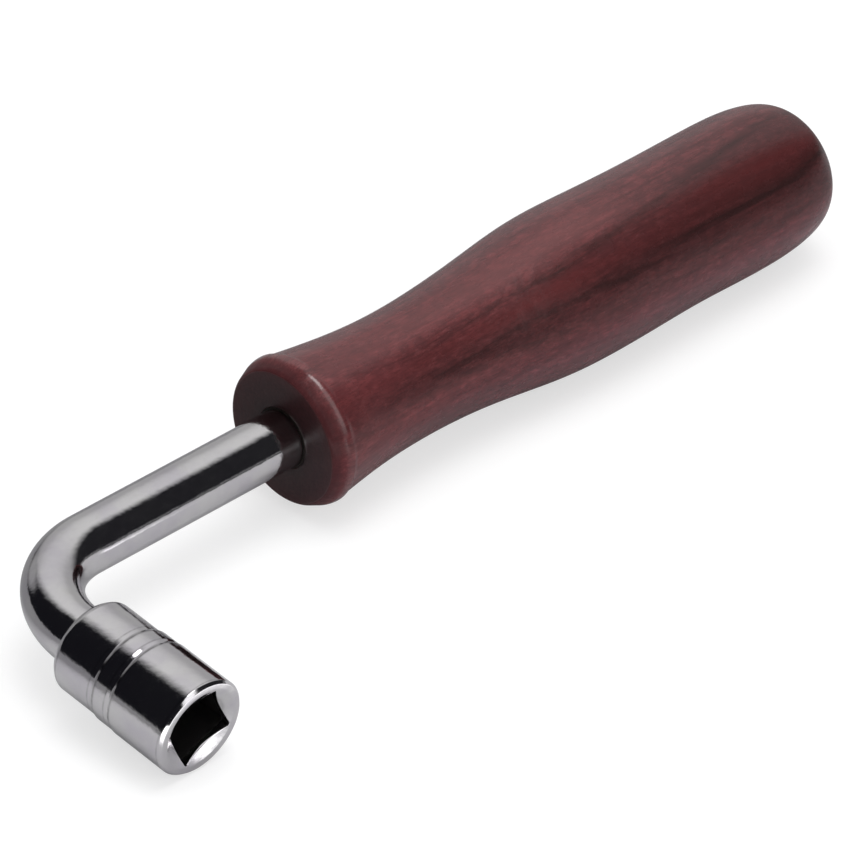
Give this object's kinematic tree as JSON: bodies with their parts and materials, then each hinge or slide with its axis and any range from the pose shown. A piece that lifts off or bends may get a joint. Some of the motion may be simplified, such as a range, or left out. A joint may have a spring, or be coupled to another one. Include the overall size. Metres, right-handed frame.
{
  "type": "L-shaped tuning wrench",
  "caption": "Hand tool that turns the square heads of string-tuning pins: a turned wooden handle on a bent round bar, ending in a socket with a square drive hole.",
  "frame": {"origin": "centre of the socket's mouth, on its flat front face", "axes": "+X along the handle towards its tail, -Y out of the drive hole, +Z normal to the plane of the L with the tool lying flat"},
  "size_m": [0.1511, 0.0453, 0.0222],
  "materials": {
    "chromed_steel": "polished",
    "lacquered_rosewood": "gloss lacquer",
    "epoxy": "matte",
    "braze_alloy": "satin"
  },
  "bodies": {
    "root": {"handle": "lacquered_rosewood", "shaft": "chromed_steel", "socket": "chromed_steel", "adhesive_sleeve": "epoxy", "braze_joint": "braze_alloy"}
  },
  "joints": []
}
